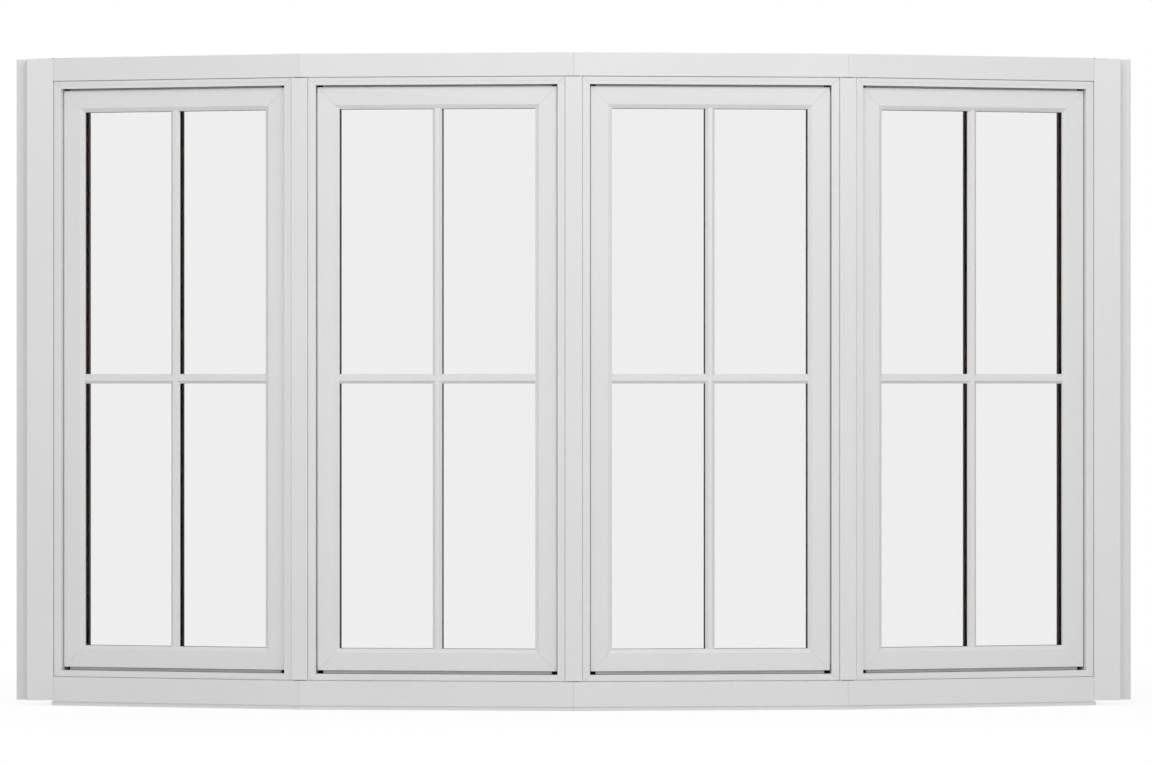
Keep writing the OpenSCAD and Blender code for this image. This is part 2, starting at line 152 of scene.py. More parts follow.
def open_group(name, takes, gives):
    tree = bpy.data.node_groups.new(name, "ShaderNodeTree")
    for label, kind, value in takes:
        socket = tree.interface.new_socket(name=label, in_out="INPUT", socket_type=kind)
        socket.default_value = value
    for label, kind in gives:
        tree.interface.new_socket(name=label, in_out="OUTPUT", socket_type=kind)
    return tree, tree.nodes.new("NodeGroupInput"), tree.nodes.new("NodeGroupOutput")


def place_group(tree, group, **inputs):
    node = tree.nodes.new("ShaderNodeGroup")
    node.node_tree = group
    for name, value in inputs.items():
        feed(tree, node.inputs[name.replace("_", " ")], value)
    return node


def seen_directly(tree):
    rays = tree.nodes.new("ShaderNodeLightPath")
    seen = arithmetic(tree, "MAXIMUM", rays.outputs["Is Camera Ray"], rays.outputs["Is Glossy Ray"])
    return arithmetic(tree, "MAXIMUM", seen, rays.outputs["Is Transmission Ray"])


print("helpers ready")

# %% [markdown]
# ## A white studio
#
# The sky lights the window softly from all round. What the lens, the reflections and the view through the glass meet
# is a plain white, set apart from the light itself with the Light Path node. That way the background can be pure white
# while the paint stays below white and keeps its shape.

# %% The surrounding light
SKY_LIGHT = 0.605

world = bpy.data.worlds.new("studio")
world.use_nodes = True
scene.world = world
sky = world.node_tree
sky.nodes.clear()
soft_sky = add_node(sky, "ShaderNodeBackground", Color=(1, 1, 1, 1), Strength=SKY_LIGHT)
white_sky = add_node(sky, "ShaderNodeBackground", Color=(1, 1, 1, 1), Strength=1.0)
either_sky = add_node(sky, "ShaderNodeMixShader", Fac=seen_directly(sky))
sky.links.new(soft_sky.outputs[0], either_sky.inputs[1])
sky.links.new(white_sky.outputs[0], either_sky.inputs[2])
sky_out = add_node(sky, "ShaderNodeOutputWorld")
sky.links.new(either_sky.outputs[0], sky_out.inputs["Surface"])
print("sky light", SKY_LIGHT)

# %% [markdown]
# ## Two soft boxes
#
# A large soft box high in front, a little to the right, makes the head brighter than the sill and gives the bevels
# their light and dark sides. A weaker one stands on the room side, so that the dark wood shows its grain from there.
# Lamps are hidden from the camera, because a view from far off would otherwise see their panels.

# %% Place the lamps
def soft_box(name, place, aim, size, watts):
    lamp = bpy.data.lights.new(name, "AREA")
    lamp.shape = "RECTANGLE"
    lamp.size, lamp.size_y = size
    lamp.energy = watts
    rig = bpy.data.objects.new(name, lamp)
    rig.location = place
    rig.rotation_euler = (Vector(aim) - Vector(place)).to_track_quat("-Z", "Y").to_euler()
    rig.visible_camera = False
    scene.collection.objects.link(rig)
    print(name, watts, "W")
    return rig


soft_box("key_box", (0.35, -3.6, 3.6), (0.1, -0.2, 0.9), (3.8, 1.6), 75)
soft_box("room_box", (-1.0, 4.2, 3.4), (0, 0, 0.7), (3.0, 2.0), 60)

# %% [markdown]
# ## The floor
#
# The floor reaches far past the window, so that no edge shows from any side. The lens sees most of it as a plain
# white, and close to the window a small part of it is real matt paint. Only the matt part can be darkened, which leaves
# a faint shadow under the sill. Further out the matt part fades away, so floor and sky meet in one white.

# %% Make the floor
FLOOR_REACH = 60.0
FLOOR_MATT_PART = 0.2
MATT_REACH = (1.4, 4.0)
MATT_LIFT = 0.35

floor_shape = bmesh.new()
bmesh.ops.create_grid(floor_shape, x_segments=2, y_segments=2, size=FLOOR_REACH)
floor_mesh = bpy.data.meshes.new("floor")
floor_shape.to_mesh(floor_mesh)
floor_shape.free()
floor = bpy.data.objects.new("floor", floor_mesh)
scene.collection.objects.link(floor)

floor_paint = bpy.data.materials.new("floor_paint")
floor_paint.use_nodes = True
tree = floor_paint.node_tree
tree.nodes.clear()
matt = add_node(tree, "ShaderNodeBsdfDiffuse", Color=(0.82, 0.82, 0.82, 1))
place = tree.nodes.new("ShaderNodeTexCoord")
away = add_node(tree, "ShaderNodeVectorMath", {"operation": "LENGTH"})
tree.links.new(place.outputs["Object"], away.inputs[0])
near = add_node(tree, "ShaderNodeMapRange", Value=away.outputs["Value"])
near.inputs["From Min"].default_value, near.inputs["From Max"].default_value = MATT_REACH
near.inputs["To Min"].default_value, near.inputs["To Max"].default_value = FLOOR_MATT_PART, 0.0
lift = add_node(tree, "ShaderNodeMath", {"operation": "MULTIPLY_ADD"})
tree.links.new(near.outputs[0], lift.inputs[0])
lift.inputs[1].default_value = MATT_LIFT
lift.inputs[2].default_value = 1.0
glow = add_node(tree, "ShaderNodeEmission", Color=(1, 1, 1, 1), Strength=lift.outputs[0])
share = arithmetic(tree, "MULTIPLY", seen_directly(tree), arithmetic(tree, "SUBTRACT", 1.0, near.outputs[0]))
floor_mix = add_node(tree, "ShaderNodeMixShader", Fac=share)
tree.links.new(matt.outputs[0], floor_mix.inputs[1])
tree.links.new(glow.outputs[0], floor_mix.inputs[2])
floor_out = add_node(tree, "ShaderNodeOutputMaterial")
tree.links.new(floor_mix.outputs[0], floor_out.inputs["Surface"])
floor_mesh.materials.append(floor_paint)
print("floor reaches", FLOOR_REACH, "m each way")

# %% [markdown]
# ## Effect: worn and eased edges, and a painted edge highlight
#
# Handling and sun reach a varnished or plated edge first. On the white cladding the same mask is a painted highlight
# along the edges, not wear. The Bevel node looks round an edge within a small radius and bends the normal there.
# Comparing that bent normal with the flat one gives a mask that is strong on edges and nothing on flats. Fine noise
# breaks it up, because real wear is never an even line.

# %% Node group: edge wear and painted edge highlight
edge_wear_and_highlight, start, end = open_group(
    "edge_wear_and_highlight",
    [("Reach", "NodeSocketFloat", 0.001), ("Grip", "NodeSocketFloat", 1.0)],
    [("Mask", "NodeSocketFloat")],
)
bent = edge_wear_and_highlight.nodes.new("ShaderNodeBevel")
bent.samples = 3
edge_wear_and_highlight.links.new(start.outputs["Reach"], bent.inputs["Radius"])
flat = edge_wear_and_highlight.nodes.new("ShaderNodeNewGeometry")
alike = add_node(edge_wear_and_highlight, "ShaderNodeVectorMath", {"operation": "DOT_PRODUCT"})
edge_wear_and_highlight.links.new(bent.outputs["Normal"], alike.inputs[0])
edge_wear_and_highlight.links.new(flat.outputs["Normal"], alike.inputs[1])
apart = arithmetic(edge_wear_and_highlight, "SUBTRACT", 1.0, alike.outputs["Value"], clamp=True)
place = edge_wear_and_highlight.nodes.new("ShaderNodeTexCoord")
flecks = add_node(edge_wear_and_highlight, "ShaderNodeTexNoise", Vector=place.outputs["Object"], Scale=140.0, Detail=3.0)
broken = arithmetic(edge_wear_and_highlight, "MULTIPLY", apart, flecks.outputs["Fac"])
strong = arithmetic(edge_wear_and_highlight, "MULTIPLY", broken, start.outputs["Grip"], clamp=True)
edge_wear_and_highlight.links.new(strong, end.inputs["Mask"])
print("group", edge_wear_and_highlight.name)

# %% [markdown]
# ## Effect: baked powder paint
#
# Window cladding is sprayed with powder and baked. The paint flows almost level and keeps a faint orange-peel ripple a
# millimetre or two wide, with a slow drift in gloss over a length of profile. A little dust settles on faces that look
# upwards. Two noises give ripple and drift, and the upward part of the normal gives the dust.

# %% Node group: powder paint
powder_paint, start, end = open_group(
    "powder_paint",
    [("Ripple Size", "NodeSocketFloat", 420.0), ("Dust", "NodeSocketFloat", 0.3)],
    [("Ripple", "NodeSocketFloat"), ("Drift", "NodeSocketFloat"), ("Dust", "NodeSocketFloat")],
)
place = powder_paint.nodes.new("ShaderNodeTexCoord")
ripple = add_node(powder_paint, "ShaderNodeTexNoise", Vector=place.outputs["Object"], Detail=2.0, Roughness=0.45)
powder_paint.links.new(start.outputs["Ripple Size"], ripple.inputs["Scale"])
drift = add_node(powder_paint, "ShaderNodeTexNoise", Vector=place.outputs["Object"], Scale=3.2, Detail=4.0)
facing = powder_paint.nodes.new("ShaderNodeNewGeometry")
upward = add_node(powder_paint, "ShaderNodeSeparateXYZ", Vector=facing.outputs["Normal"])
specks = add_node(powder_paint, "ShaderNodeTexNoise", Vector=place.outputs["Object"], Scale=60.0, Detail=6.0)
lying = arithmetic(powder_paint, "MULTIPLY", upward.outputs["Z"], specks.outputs["Fac"], clamp=True)
dusty = arithmetic(powder_paint, "MULTIPLY", lying, start.outputs["Dust"], clamp=True)
powder_paint.links.new(ripple.outputs["Fac"], end.inputs["Ripple"])
powder_paint.links.new(drift.outputs["Fac"], end.inputs["Drift"])
powder_paint.links.new(dusty, end.inputs["Dust"])
print("group", powder_paint.name)

# %% [markdown]
# ## Effect: which way the grain runs
#
# A joiner cuts every member along its own length, so stiles and jambs have upright grain and rails and heads have
# level grain. One solid frame holds both kinds. Inside a unit the members are told apart by how far they lie from its
# middle line: turn the point into the unit's own directions, measure that distance, and swap across and up where the
# member lies level. The result always has the grain along its third number.

# %% Node group: grain direction
grain_direction, start, end = open_group(
    "grain_direction",
    [("Middle", "NodeSocketVector", (0.0, 0.0, 0.0)), ("Turn", "NodeSocketFloat", 0.0),
     ("Split", "NodeSocketFloat", 0.25), ("Upright Within", "NodeSocketFloat", 0.0)],
    [("Point", "NodeSocketVector")],
)
place = grain_direction.nodes.new("ShaderNodeTexCoord")
back_turn = arithmetic(grain_direction, "MULTIPLY", start.outputs["Turn"], -1.0)
turned = add_node(
    grain_direction, "ShaderNodeVectorRotate", {"rotation_type": "Z_AXIS"},
    Vector=place.outputs["Object"], Center=start.outputs["Middle"], Angle=back_turn,
)
from_middle = add_node(grain_direction, "ShaderNodeVectorMath", {"operation": "SUBTRACT"})
grain_direction.links.new(turned.outputs[0], from_middle.inputs[0])
grain_direction.links.new(start.outputs["Middle"], from_middle.inputs[1])
parts = add_node(grain_direction, "ShaderNodeSeparateXYZ", Vector=from_middle.outputs[0])
distance = arithmetic(grain_direction, "ABSOLUTE", parts.outputs["X"])
outside = arithmetic(grain_direction, "GREATER_THAN", distance, start.outputs["Split"])
swapped = arithmetic(grain_direction, "SUBTRACT", outside, start.outputs["Upright Within"])
upright = arithmetic(grain_direction, "ABSOLUTE", swapped)
level_point = add_node(
    grain_direction, "ShaderNodeCombineXYZ", X=parts.outputs["Z"], Y=parts.outputs["Y"], Z=parts.outputs["X"]
)
chosen = add_node(grain_direction, "ShaderNodeMix", {"data_type": "VECTOR"})
grain_direction.links.new(upright, chosen.inputs["Factor"])
grain_direction.links.new(level_point.outputs[0], chosen.inputs[4])
grain_direction.links.new(from_middle.outputs[0], chosen.inputs[5])
grain_direction.links.new(chosen.outputs[1], end.inputs["Point"])
print("group", grain_direction.name)

# %% [markdown]
# ## Effect: stained wood
#
# Dark stain sinks deeper into the soft early wood than into the hard late wood, so the growth rings stay visible as
# long streaks, and open pores show as short dark dashes. Noise that is stretched many times along the grain gives the
# streaks, and a finer one cut off near its top gives the pores. Pores also dent the surface, which the group puts out
# as a height.

# %% Node group: stained grain
stained_grain, start, end = open_group(
    "stained_grain",
    [("Point", "NodeSocketVector", (0.0, 0.0, 0.0)), ("Seed", "NodeSocketFloat", 0.0)],
    [("Streaks", "NodeSocketFloat"), ("Pores", "NodeSocketFloat"), ("Height", "NodeSocketFloat")],
)


def stretched_noise(tree, point, seed, across, length, detail):
    longer = add_node(tree, "ShaderNodeMapping", Vector=point, Scale=(across, across, length))
    noise = add_node(tree, "ShaderNodeTexNoise", {"noise_dimensions": "4D"}, Scale=1.0, Detail=detail)
    tree.links.new(longer.outputs[0], noise.inputs["Vector"])
    tree.links.new(seed, noise.inputs["W"])
    return noise.outputs["Fac"]


rings = stretched_noise(stained_grain, start.outputs["Point"], start.outputs["Seed"], 55.0, 1.6, 5.0)
fibres = stretched_noise(stained_grain, start.outputs["Point"], start.outputs["Seed"], 420.0, 9.0, 3.0)
dashes = stretched_noise(stained_grain, start.outputs["Point"], start.outputs["Seed"], 1300.0, 60.0, 1.0)
mixed = arithmetic(stained_grain, "MULTIPLY", rings, 0.65)
streaks = add_node(stained_grain, "ShaderNodeMath", {"operation": "MULTIPLY_ADD"})
stained_grain.links.new(fibres, streaks.inputs[0])
streaks.inputs[1].default_value = 0.35
stained_grain.links.new(mixed, streaks.inputs[2])
pores = add_node(stained_grain, "ShaderNodeMapRange", Value=dashes, From_Min=0.56, From_Max=0.7)
raised = arithmetic(stained_grain, "SUBTRACT", streaks.outputs[0], pores.outputs[0])
stained_grain.links.new(streaks.outputs[0], end.inputs["Streaks"])
stained_grain.links.new(pores.outputs[0], end.inputs["Pores"])
stained_grain.links.new(raised, end.inputs["Height"])
print("group", stained_grain.name)

# %% [markdown]
# ## Finish: white cladding
#
# The white is a plain, slightly soft one. Its parts differ by very little: the gloss drifts, dust greys the faces that
# look up, and a painted highlight makes the edges a shade lighter. That little is what makes paint look like paint up
# close.

# %% A helper that opens a material
def open_finish(name):
    finish = bpy.data.materials.new(name)
    finish.use_nodes = True
    tree = finish.node_tree
    tree.nodes.clear()
    shader = tree.nodes.new("ShaderNodeBsdfPrincipled")
    out = tree.nodes.new("ShaderNodeOutputMaterial")
    tree.links.new(shader.outputs[0], out.inputs["Surface"])
    return finish, tree, shader


def blend_colours(tree, share, first, second):
    mix = tree.nodes.new("ShaderNodeMix")
    mix.data_type = "RGBA"
    feed(tree, mix.inputs["Factor"], share)
    feed(tree, mix.inputs[6], first)
    feed(tree, mix.inputs[7], second)
    return mix.outputs[2]


def spread(tree, value, low, high):
    node = add_node(tree, "ShaderNodeMapRange", Value=value, To_Min=low, To_Max=high)
    return node.outputs[0]


def dent(tree, shader, height, strength, depth):
    bump = add_node(tree, "ShaderNodeBump", Height=height, Strength=strength, Distance=depth)
    tree.links.new(bump.outputs[0], shader.inputs["Normal"])


print("finish helpers ready")

# %% White powder paint
white_cladding, tree, shader = open_finish("white_cladding")
paint = place_group(tree, powder_paint, Ripple_Size=420.0, Dust=0.22)
wear_and_highlight = place_group(tree, edge_wear_and_highlight, Reach=0.0012, Grip=1.6)
drifted = blend_colours(tree, paint.outputs["Drift"], (0.775, 0.775, 0.775, 1), (0.82, 0.82, 0.82, 1))
dusted = blend_colours(tree, paint.outputs["Dust"], drifted, (0.62, 0.60, 0.57, 1))
# On the white paint the edge mask lightens the edges as a painted highlight, not as wear.
edge_highlighted = blend_colours(tree, wear_and_highlight.outputs["Mask"], dusted, (0.88, 0.88, 0.88, 1))
tree.links.new(edge_highlighted, shader.inputs["Base Color"])
gloss = spread(tree, paint.outputs["Drift"], 0.34, 0.52)
tree.links.new(gloss, shader.inputs["Roughness"])
dent(tree, shader, paint.outputs["Ripple"], 0.12, 0.00012)
print("finish", white_cladding.name)

# %% [markdown]
# ## Finish: dark stained wood
#
# The stain is nearly the brown of black coffee, under a thin rubbed oil. Oil has far less shine than a thick varnish,
# above all at a low angle, so the index of refraction is set low. One recipe serves every wooden piece. Only the
# direction of the grain changes, and a seed that keeps two pieces from having been cut out of the same plank.

# %% A helper that makes stained wood
DEEP_STAIN = (0.030, 0.011, 0.007, 1)
LIGHT_STAIN = (0.115, 0.042, 0.026, 1)
PORE_STAIN = (0.008, 0.004, 0.003, 1)


def stained_wood(name, seed, middle=(0.0, 0.0, 0.0), turn=0.0, split=10.0, upright_within=0.0):
    finish, tree, shader = open_finish(name)
    direction = place_group(
        tree, grain_direction, Middle=middle, Turn=turn, Split=split, Upright_Within=upright_within
    )
    grain = place_group(tree, stained_grain, Point=direction.outputs["Point"], Seed=seed)
    wear_and_highlight = place_group(tree, edge_wear_and_highlight, Reach=0.002, Grip=1.5)
    streaks = spread(tree, grain.outputs["Streaks"], -1.2, 2.3)
    stain = blend_colours(tree, streaks, DEEP_STAIN, LIGHT_STAIN)
    pored = blend_colours(tree, grain.outputs["Pores"], stain, PORE_STAIN)
    worn = blend_colours(tree, wear_and_highlight.outputs["Mask"], pored, (0.12, 0.06, 0.038, 1))
    tree.links.new(worn, shader.inputs["Base Color"])
    varnish = spread(tree, grain.outputs["Streaks"], 0.36, 0.56)
    tree.links.new(varnish, shader.inputs["Roughness"])
    dent(tree, shader, grain.outputs["Height"], 0.35, 0.00025)
    shader.inputs["IOR"].default_value = 1.2
    shader.inputs["Coat Weight"].default_value = 0.02
    shader.inputs["Coat Roughness"].default_value = 0.35
    return finish


upright_wood = stained_wood("stained_wood_upright", 1.3, upright_within=1.0)
level_wood = stained_wood("stained_wood_level", 4.7)
print("finish", upright_wood.name, "and", level_wood.name)

# %% [markdown]
# Inside one unit, the split between upright and level members is where the stop, the stile or the bar ends. Those
# lines are read from the solids: the glass bars give the bar's width, and the clear opening between the stiles is the
# length of the level bars.

# %% Measure solids in a unit's own directions
def loose_solids(node):
    work = bmesh.new()
    work.from_mesh(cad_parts[node].data)
    bmesh.ops.remove_doubles(work, verts=work.verts, dist=0.00002)
    waiting = set(work.verts)
    groups = []
    while waiting:
        front = [waiting.pop()]
        group = []
        while front:
            vert = front.pop()
            group.append(vert.co.copy())
            for edge in vert.link_edges:
                other = edge.other_vert(vert)
                if other in waiting:
                    waiting.remove(other)
                    front.append(other)
        groups.append(group)
    work.free()
    return groups


def extents(points, number):
    back = unit_place[number].inverted()
    seen = [back @ point for point in points]
    low = Vector([min(point[axis] for point in seen) for axis in range(3)])
    high = Vector([max(point[axis] for point in seen) for axis in range(3)])
    return low, high


def nearest_unit(points):
    middle = sum(points, Vector()) / len(points)
    return min(UNITS, key=lambda number: (unit_place[number].translation.xy - middle.xy).length)


bars = [extents(group, 1) for group in loose_solids("unit_1_bars_inside")]
bar_half = min(high.x - low.x for low, high in bars) / 2
sight_half = max(high.x for low, high in bars)
print("half bar", round(bar_half, 4), "half opening", round(sight_half, 4))

# %% Give every unit its own planks
STOP_BEHIND_SIGHT = 33.1 * MM

unit_wood = {}
for number in UNITS:
    place = unit_place[number]
    middle = tuple(place.translation)
    turn = place.to_euler().z
    members = {
        "frame_wood": (sight_half + STOP_BEHIND_SIGHT, 0.0),
        "sash_wood": (sight_half + 0.1 * MM, 0.0),
        "bars_inside": (bar_half + 0.1 * MM, 1.0),
    }
    for index, (member, (split, within)) in enumerate(members.items()):
        unit_wood[f"unit_{number}_{member}"] = stained_wood(
            f"stained_{member}_{number}", number * 3.1 + index, middle, turn, split, within
        )
print("wood finishes:", len(unit_wood))

# %% [markdown]
# ## Finish: window glass
#
# Float glass is almost flat and almost clear. The tint comes from a trace of iron and from a metal film so thin that it
# only dims the view. The film also quiets the mirror image, which a dark specular tint stands for. Fingerprints and old
# rain change only the gloss, so a very low roughness drifts over each pane, and a barely visible wave bends the
# reflection, as it does in every real sheet.

# %% Float glass
float_glass, tree, shader = open_finish("float_glass")
shader.inputs["Base Color"].default_value = (0.925, 0.925, 0.923, 1)
shader.inputs["Transmission Weight"].default_value = 1.0
shader.inputs["IOR"].default_value = 1.45
shader.inputs["Specular Tint"].default_value = (0.12, 0.12, 0.12, 1)
place = tree.nodes.new("ShaderNodeTexCoord")
smears = add_node(tree, "ShaderNodeTexNoise", Vector=place.outputs["Object"], Scale=5.0, Detail=5.0)
tree.links.new(spread(tree, smears.outputs["Fac"], 0.0, 0.02), shader.inputs["Roughness"])
wave = add_node(tree, "ShaderNodeTexNoise", Vector=place.outputs["Object"], Scale=2.5, Detail=1.0)
dent(tree, shader, wave.outputs["Fac"], 0.05, 0.0006)
print("finish", float_glass.name)

# %% [markdown]
# ## Finish: seals and spacer
#
# The strip round a sash is extruded foam-backed vinyl in grey: dull, very slightly grained, with slow changes of tone.
# The spacer between the panes is dark warm-edge foam. Both take the same fine noise at different sizes. Foam scatters
# light among its cells and has no mirror image, so its index of refraction is set close to that of air.

# %% Vinyl and foam
def dull_polymer(name, dark, light, grain_size, roughness):
    finish, tree, shader = open_finish(name)
    place = tree.nodes.new("ShaderNodeTexCoord")
    fine = add_node(tree, "ShaderNodeTexNoise", Vector=place.outputs["Object"], Scale=grain_size, Detail=4.0)
    slow = add_node(tree, "ShaderNodeTexNoise", Vector=place.outputs["Object"], Scale=9.0, Detail=2.0)
    colour = blend_colours(tree, slow.outputs["Fac"], dark, light)
    tree.links.new(colour, shader.inputs["Base Color"])
    tree.links.new(spread(tree, fine.outputs["Fac"], *roughness), shader.inputs["Roughness"])
    dent(tree, shader, fine.outputs["Fac"], 0.25, 0.0001)
    shader.inputs["IOR"].default_value = 1.12
    return finish


grey_vinyl = dull_polymer("grey_vinyl", (0.50, 0.50, 0.495, 1), (0.66, 0.66, 0.65, 1), 900.0, (0.5, 0.72))
spacer_foam = dull_polymer("spacer_foam", (0.014, 0.009, 0.007, 1), (0.026, 0.017, 0.013, 1), 1400.0, (0.8, 0.95))
print("finishes", grey_vinyl.name, spacer_foam.name)

# %% [markdown]
# ## Finish: oil-rubbed bronze
#
# Cranks and levers on dark windows are usually cast zinc, plated and rubbed back by hand. The plate is nearly black in
# the hollows, and copper shows through where a hand or a cloth reaches the edges. Metallic stays at one, and colour
# and gloss carry the story.

# %% Rubbed bronze
rubbed_bronze, tree, shader = open_finish("rubbed_bronze")
shader.inputs["Metallic"].default_value = 1.0
wear_and_highlight = place_group(tree, edge_wear_and_highlight, Reach=0.0016, Grip=3.2)
place = tree.nodes.new("ShaderNodeTexCoord")
cloudy = add_node(tree, "ShaderNodeTexNoise", Vector=place.outputs["Object"], Scale=45.0, Detail=5.0)
plate = blend_colours(tree, cloudy.outputs["Fac"], (0.055, 0.038, 0.028, 1), (0.13, 0.085, 0.058, 1))
bright = blend_colours(tree, wear_and_highlight.outputs["Mask"], plate, (0.52, 0.30, 0.17, 1))
tree.links.new(bright, shader.inputs["Base Color"])
tree.links.new(spread(tree, cloudy.outputs["Fac"], 0.28, 0.5), shader.inputs["Roughness"])
cast = add_node(tree, "ShaderNodeTexNoise", Vector=place.outputs["Object"], Scale=1100.0, Detail=2.0)
dent(tree, shader, cast.outputs["Fac"], 0.12, 0.0001)
print("finish", rubbed_bronze.name)

# %% [markdown]
# ## Dress the solids
#
# Each solid knows which finish it belongs to. No real edge is a knife edge, and an eased edge catches a thin line of
# light. Folded metal is eased very little, so that its mitres stay tight, and sanded wood is eased more. Weld joins the
# corners that belong together first, so that the Bevel modifier sees whole edges.

# %% Which finish goes on which solid
finish_for_slot = {
    "white_cladding": white_cladding,
    "dark_wood": level_wood,
    "glass": float_glass,
    "spacer": spacer_foam,
    "weatherstrip": grey_vinyl,
    "hardware": rubbed_bronze,
}
upright_nodes = ["mullion_posts", "mullion_casings", "left_jamb", "right_jamb"]
eased_slots = {"white_cladding": 0.12 * MM, "dark_wood": 0.6 * MM}


def ease_edges(solid, width):
    weld = solid.modifiers.new("weld", "WELD")
    weld.merge_threshold = 0.00001
    ease = solid.modifiers.new("ease", "BEVEL")
    ease.width = width
    ease.segments = 2
    ease.limit_method = "ANGLE"
    ease.angle_limit = math.radians(30)
    ease.use_clamp_overlap = True
    ease.harden_normals = True


for name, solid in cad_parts.items():
    slot_name = solid.data.materials[0].name.split(".")[0]
    finish = unit_wood.get(name) or (upright_wood if name in upright_nodes else finish_for_slot[slot_name])
    solid.data.materials[0] = finish
    if slot_name in eased_slots:
        ease_edges(solid, eased_slots[slot_name])
print("dressed", len(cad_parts), "solids")

# %% [markdown]
# ## Building rounded pieces by hand
#
# The hardware and the seals are shaped here. Most of them are outlines stacked up: the same outline again and again,
# drawn in a little towards the top, and closed with a flat face. Knobs and screws are turned instead, like on a lathe,
# from a short list of radius and height.

# %% Helpers for new pieces
def capsule_outline(length, start_radius, end_radius, steps=14):
    """Outline of a bar with round ends, from its start at 0 along X; returned as a function of the inset."""
    def outline(inset):
        points = []
        for k in range(steps + 1):
            angle = math.pi / 2 + math.pi * k / steps
            radius = start_radius - inset
            points.append((radius * math.cos(angle), radius * math.sin(angle)))
        for k in range(steps + 1):
            angle = -math.pi / 2 + math.pi * k / steps
            radius = end_radius - inset
            points.append((length + radius * math.cos(angle), radius * math.sin(angle)))
        return points
    return outline


def rounded_outline(width, height, corner, steps=6):
    """Outline of a plate with rounded corners round the origin, as a function of the inset."""
    def outline(inset):
        points = []
        for quarter, (sx, sy) in enumerate([(1, 1), (-1, 1), (-1, -1), (1, -1)]):
            for k in range(steps + 1):
                angle = math.pi / 2 * (quarter + k / steps)
                reach = corner - inset
                points.append((
                    sx * (width / 2 - corner) + reach * math.cos(angle),
                    sy * (height / 2 - corner) + reach * math.sin(angle),
                ))
        return points
    return outline


def stack_outlines(work, to_world, outline, levels):
    """Walls through the outline at each (height, inset), closed at both ends."""
    rows = []
    for height, inset in levels:
        rows.append([work.verts.new(to_world @ Vector((x, y, height))) for x, y in outline(inset)])
    for lower, upper in zip(rows, rows[1:]):
        for k in range(len(lower)):
            nxt = (k + 1) % len(lower)
            work.faces.new((lower[k], lower[nxt], upper[nxt], upper[k]))
    work.faces.new(rows[0][::-1])
    work.faces.new(rows[-1])


def turn_on_lathe(work, to_world, profile, steps=24):
    """A turned piece from (radius, height) pairs; radius 0 closes it with a point."""
    rows = []
    for radius, height in profile:
        if radius == 0:
            rows.append([work.verts.new(to_world @ Vector((0, 0, height)))])
            continue
        ring = []
        for k in range(steps):
            angle = 2 * math.pi * k / steps
            ring.append(work.verts.new(to_world @ Vector((radius * math.cos(angle), radius * math.sin(angle), height))))
        rows.append(ring)
    for lower, upper in zip(rows, rows[1:]):
        for k in range(steps):
            nxt = (k + 1) % steps
            if len(lower) == 1:
                work.faces.new((lower[0], upper[nxt], upper[k]))
            elif len(upper) == 1:
                work.faces.new((lower[k], lower[nxt], upper[0]))
            else:
                work.faces.new((lower[k], lower[nxt], upper[nxt], upper[k]))


def finish_piece(name, work, finish, smooth_angle=35):
    bmesh.ops.recalc_face_normals(work, faces=work.faces)
    for face in work.faces:
        face.smooth = True
    for edge in work.edges:
        if len(edge.link_faces) == 2 and edge.calc_face_angle(0) > math.radians(smooth_angle):
            edge.smooth = False
    mesh = bpy.data.meshes.new(name)
    work.to_mesh(mesh)
    work.free()
    mesh.materials.append(finish)
    piece = bpy.data.objects.new(name, mesh)
    scene.collection.objects.link(piece)
    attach(piece, "root")
    print(name, len(mesh.polygons), "faces")
    return piece


SCREW_PROFILE = [(0, 0.1), (0.9, 0.1), (1.1, 0.9), (1.7, 1.0), (2.5, 0.5), (2.7, 0.0), (2.7, -0.6), (0, -0.6)]


def screw_head(work, to_world, size=1.0):
    turn_on_lathe(work, to_world, [(radius * size * MM, height * size * MM) for radius, height in SCREW_PROFILE], 20)


print("shape helpers ready")

# %% [markdown]
# ## Weatherstrips
#
# A weatherstrip is a soft bulb held in a groove, not a square bar. Its face is rounded, so that it can squeeze when
# the sash closes, and its ends are cut a little short of the corners. Each straight strip becomes a bar of the same
# length with a rounded section, drawn in at its two ends.

# %% Mould the strips
def soft_strip(work, to_world, low, high, inset_run, steps=5):
    size = high - low
    run = max(range(3), key=lambda axis: size[axis])
    wide, thick = [axis for axis in range(3) if axis != run]
    radius = min(size[wide], size[thick]) * 0.45
    section = rounded_outline(size[wide], size[thick], radius, steps)
    middle = (low + high) / 2
    ends = [low[run], low[run] + inset_run, high[run] - inset_run, high[run]]
    rows = []
    for along, inset in zip(ends, (radius * 0.5, 0, 0, radius * 0.5)):
        row = []
        for u, v in section(inset):
            point = Vector((0, 0, 0))
            point[run] = along
            point[wide] = middle[wide] + u
            point[thick] = middle[thick] + v
            row.append(work.verts.new(to_world @ point))
        rows.append(row)
    for lower, upper in zip(rows, rows[1:]):
        for k in range(len(lower)):
            nxt = (k + 1) % len(lower)
            work.faces.new((lower[k], lower[nxt], upper[nxt], upper[k]))
    work.faces.new(rows[0][::-1])
    work.faces.new(rows[-1])


strips = {number: bmesh.new() for number in UNITS}
for group in loose_solids("weatherstrips"):
    number = nearest_unit(group)
    low, high = extents(group, number)
    soft_strip(strips[number], unit_place[number], low, high, 0.8 * MM)
strip_pieces = [finish_piece(f"weatherstrip_bulbs_{n}", strips[n], grey_vinyl) for n in UNITS]
for piece in strip_pieces:
    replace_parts(piece, "weatherstrips")

# %% [markdown]
# ## Crank operators
#
# A casement is wound open with a small folding crank. The cover is a smooth casting, the arm tapers from its hub to a
# finger knob, and it folds flat along the sill when it isn't used. All of it is shaped inside the space that the
# simple solid already holds, and the hub sits at the end that faces the middle of the window.

